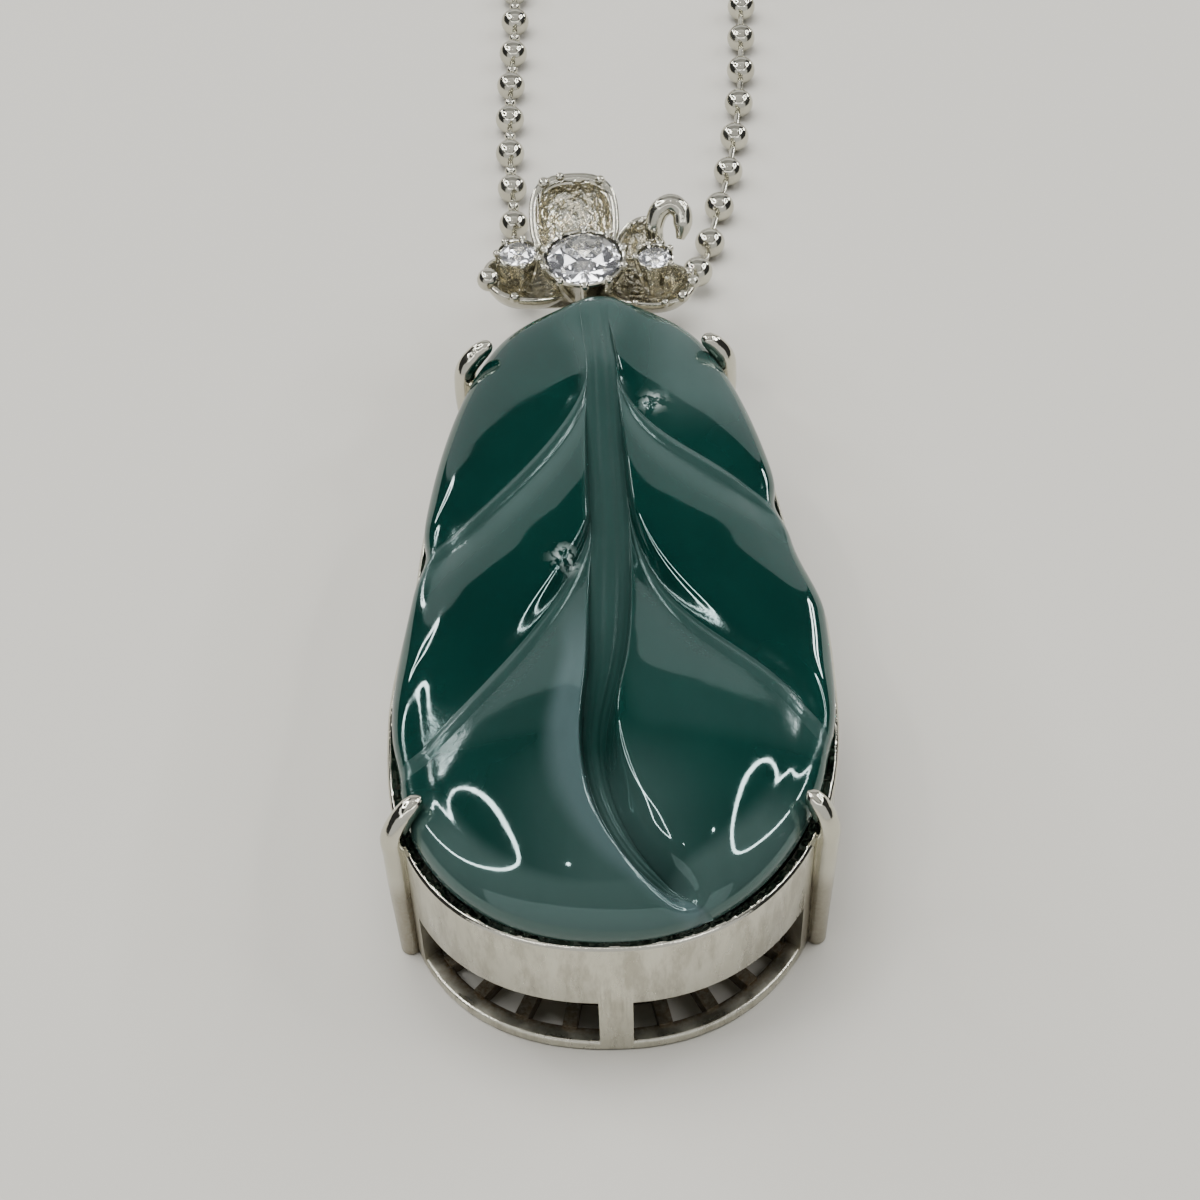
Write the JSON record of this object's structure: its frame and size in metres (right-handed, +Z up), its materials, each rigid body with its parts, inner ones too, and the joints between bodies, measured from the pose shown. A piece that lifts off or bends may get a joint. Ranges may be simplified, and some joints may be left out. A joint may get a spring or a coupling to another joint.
{
  "type": "leaf pendant",
  "caption": "Carved leaf-shaped cabochon in an open gallery setting, with a flower bail set with clear stones and a thin ball chain.",
  "frame": {"origin": "middle of the pendant's underside, on the table it lies on, without its chain", "axes": "+Y from the rounded end of the leaf to its tip and the bail, +Z up through the carved face"},
  "size_m": [0.0269, 0.0854, 0.0096],
  "materials": {
    "jade": "glassy polish on a deep bluish green stone, cloudy grey towards the edges",
    "silver": "polished white metal, finely mottled on the band and tarnished in its corners",
    "crystal": "clear faceted stones"
  },
  "bodies": {
    "root": {"jade_leaf": "jade", "setting": "silver", "flower_bail": "silver", "center_stone": "crystal", "left_stone": "crystal", "right_stone": "crystal", "chain_left_run": "silver", "chain_right_run": "silver", "chain_coil": "silver", "chain_tail": "silver", "chain_coupling": "silver"}
  },
  "joints": []
}
